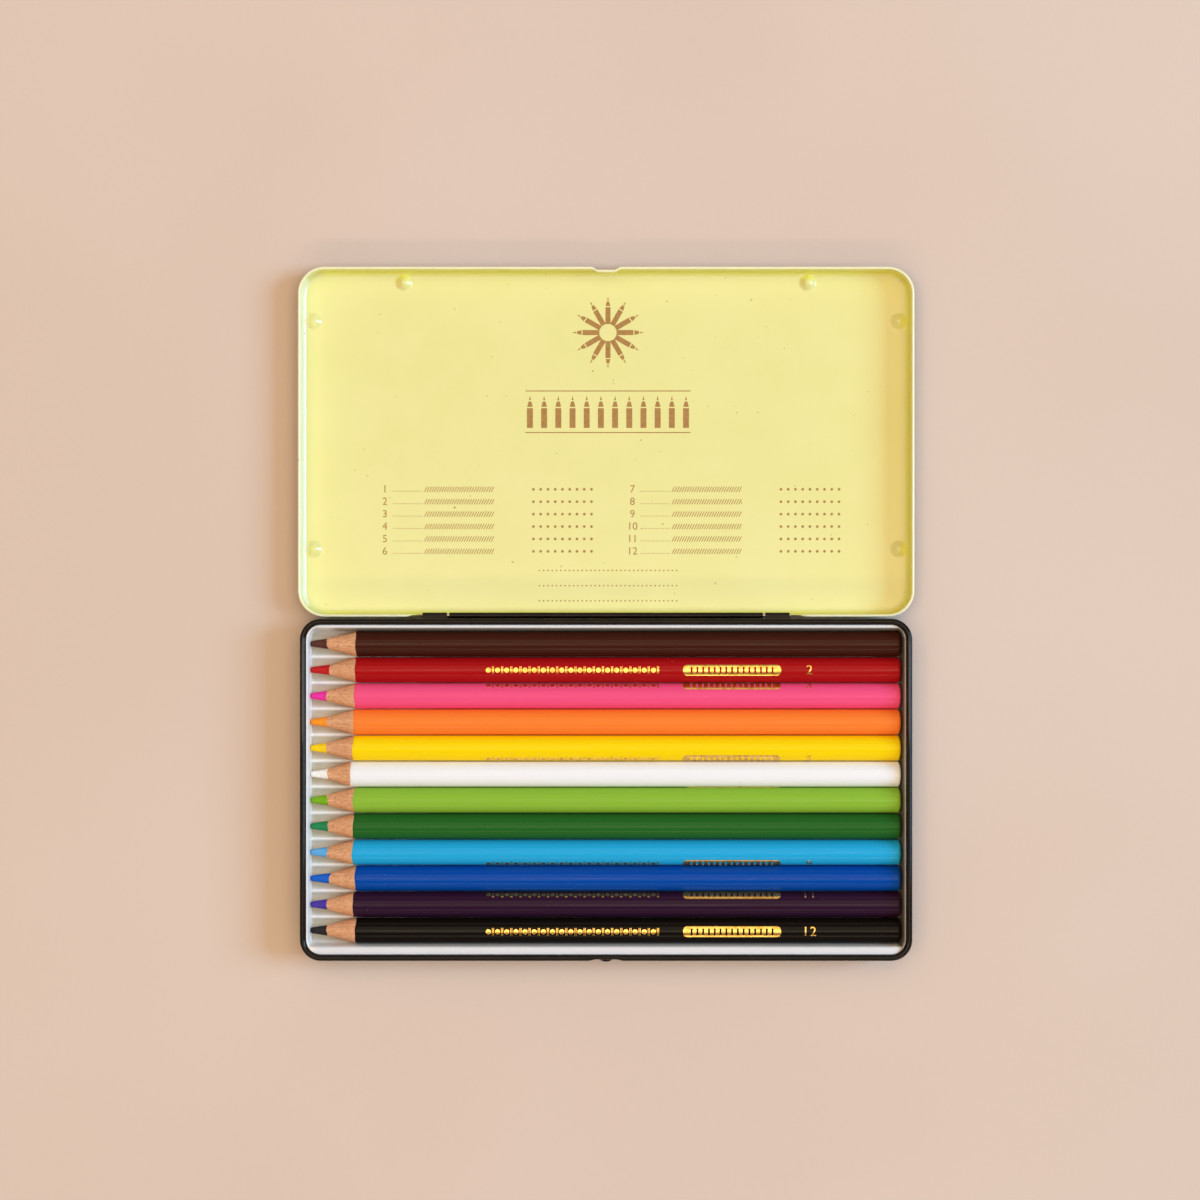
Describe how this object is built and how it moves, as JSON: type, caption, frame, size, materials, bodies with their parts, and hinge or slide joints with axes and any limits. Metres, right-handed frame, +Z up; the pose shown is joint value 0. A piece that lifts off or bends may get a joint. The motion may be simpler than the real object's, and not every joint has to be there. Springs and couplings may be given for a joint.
{
  "type": "pencil tin",
  "caption": "Flat hinged tin, opened flat, whose base holds a fluted tray with a row of sharpened round pencils; the lid swings shut over them.",
  "frame": {"origin": "centre of the base pan's underside, on the surface that the tin lies on", "axes": "+X along the pencils towards their blunt ends, +Y from the base to the opened lid, +Z up"},
  "size_m": [0.1852, 0.2091, 0.0115],
  "materials": {
    "base_tin": "gloss black-brown lacquer on tinplate",
    "lid_tin": "satin pale yellow print inside, dark lacquer outside, on tinplate",
    "pin_steel": "drawn wire",
    "tray_plastic": "thin formed white sheet, slight gloss",
    "cedar": "sharpened, bare, fine straight grain",
    "brown_lacquer": "gloss lacquer",
    "brown_lead": "waxy pigmented core",
    "red_lacquer": "gloss lacquer",
    "red_lead": "waxy pigmented core",
    "pink_lacquer": "gloss lacquer",
    "pink_lead": "waxy pigmented core",
    "orange_lacquer": "gloss lacquer",
    "orange_lead": "waxy pigmented core",
    "yellow_lacquer": "gloss lacquer",
    "yellow_lead": "waxy pigmented core",
    "white_lacquer": "gloss lacquer",
    "white_lead": "waxy pigmented core",
    "yellow_green_lacquer": "gloss lacquer",
    "yellow_green_lead": "waxy pigmented core",
    "green_lacquer": "gloss lacquer",
    "green_lead": "waxy pigmented core",
    "light_blue_lacquer": "gloss lacquer",
    "light_blue_lead": "waxy pigmented core",
    "blue_lacquer": "gloss lacquer",
    "blue_lead": "waxy pigmented core",
    "purple_lacquer": "gloss lacquer",
    "purple_lead": "waxy pigmented core",
    "black_lacquer": "gloss lacquer",
    "black_lead": "waxy pigmented core"
  },
  "bodies": {
    "base": {"base_pan": "base_tin", "hinge_pin": "pin_steel"},
    "lid": {"lid_pan": "lid_tin"},
    "tray": {"fluted_tray": "tray_plastic"},
    "brown_pencil": {"brown_pencil_core": "brown_lead", "brown_pencil_upper_slat": "cedar", "brown_pencil_lower_slat": "cedar", "brown_pencil_lacquer": "brown_lacquer"},
    "red_pencil": {"red_pencil_core": "red_lead", "red_pencil_upper_slat": "cedar", "red_pencil_lower_slat": "cedar", "red_pencil_lacquer": "red_lacquer"},
    "pink_pencil": {"pink_pencil_core": "pink_lead", "pink_pencil_upper_slat": "cedar", "pink_pencil_lower_slat": "cedar", "pink_pencil_lacquer": "pink_lacquer"},
    "orange_pencil": {"orange_pencil_core": "orange_lead", "orange_pencil_upper_slat": "cedar", "orange_pencil_lower_slat": "cedar", "orange_pencil_lacquer": "orange_lacquer"},
    "yellow_pencil": {"yellow_pencil_core": "yellow_lead", "yellow_pencil_upper_slat": "cedar", "yellow_pencil_lower_slat": "cedar", "yellow_pencil_lacquer": "yellow_lacquer"},
    "white_pencil": {"white_pencil_core": "white_lead", "white_pencil_upper_slat": "cedar", "white_pencil_lower_slat": "cedar", "white_pencil_lacquer": "white_lacquer"},
    "yellow_green_pencil": {"yellow_green_pencil_core": "yellow_green_lead", "yellow_green_pencil_upper_slat": "cedar", "yellow_green_pencil_lower_slat": "cedar", "yellow_green_pencil_lacquer": "yellow_green_lacquer"},
    "green_pencil": {"green_pencil_core": "green_lead", "green_pencil_upper_slat": "cedar", "green_pencil_lower_slat": "cedar", "green_pencil_lacquer": "green_lacquer"},
    "light_blue_pencil": {"light_blue_pencil_core": "light_blue_lead", "light_blue_pencil_upper_slat": "cedar", "light_blue_pencil_lower_slat": "cedar", "light_blue_pencil_lacquer": "light_blue_lacquer"},
    "blue_pencil": {"blue_pencil_core": "blue_lead", "blue_pencil_upper_slat": "cedar", "blue_pencil_lower_slat": "cedar", "blue_pencil_lacquer": "blue_lacquer"},
    "purple_pencil": {"purple_pencil_core": "purple_lead", "purple_pencil_upper_slat": "cedar", "purple_pencil_lower_slat": "cedar", "purple_pencil_lacquer": "purple_lacquer"},
    "black_pencil": {"black_pencil_core": "black_lead", "black_pencil_upper_slat": "cedar", "black_pencil_lower_slat": "cedar", "black_pencil_lacquer": "black_lacquer"}
  },
  "joints": [
    {"name": "lid_hinge", "type": "hinge", "parent": "base", "child": "lid", "pos_m": [0, 0.05215, 0.007], "axis": [1, 0, 0], "range_deg": [0, 180]},
    {"name": "tray_lift", "type": "slide", "parent": "base", "child": "tray", "axis": [0, 0, 1], "range_m": [0, 0.04]},
    {"name": "brown_pencil_lift", "type": "slide", "parent": "tray", "child": "brown_pencil", "axis": [0, 0, 1], "range_m": [0, 0.05]},
    {"name": "red_pencil_lift", "type": "slide", "parent": "tray", "child": "red_pencil", "axis": [0, 0, 1], "range_m": [0, 0.05]},
    {"name": "pink_pencil_lift", "type": "slide", "parent": "tray", "child": "pink_pencil", "axis": [0, 0, 1], "range_m": [0, 0.05]},
    {"name": "orange_pencil_lift", "type": "slide", "parent": "tray", "child": "orange_pencil", "axis": [0, 0, 1], "range_m": [0, 0.05]},
    {"name": "yellow_pencil_lift", "type": "slide", "parent": "tray", "child": "yellow_pencil", "axis": [0, 0, 1], "range_m": [0, 0.05]},
    {"name": "white_pencil_lift", "type": "slide", "parent": "tray", "child": "white_pencil", "axis": [0, 0, 1], "range_m": [0, 0.05]},
    {"name": "yellow_green_pencil_lift", "type": "slide", "parent": "tray", "child": "yellow_green_pencil", "axis": [0, 0, 1], "range_m": [0, 0.05]},
    {"name": "green_pencil_lift", "type": "slide", "parent": "tray", "child": "green_pencil", "axis": [0, 0, 1], "range_m": [0, 0.05]},
    {"name": "light_blue_pencil_lift", "type": "slide", "parent": "tray", "child": "light_blue_pencil", "axis": [0, 0, 1], "range_m": [0, 0.05]},
    {"name": "blue_pencil_lift", "type": "slide", "parent": "tray", "child": "blue_pencil", "axis": [0, 0, 1], "range_m": [0, 0.05]},
    {"name": "purple_pencil_lift", "type": "slide", "parent": "tray", "child": "purple_pencil", "axis": [0, 0, 1], "range_m": [0, 0.05]},
    {"name": "black_pencil_lift", "type": "slide", "parent": "tray", "child": "black_pencil", "axis": [0, 0, 1], "range_m": [0, 0.05]}
  ]
}
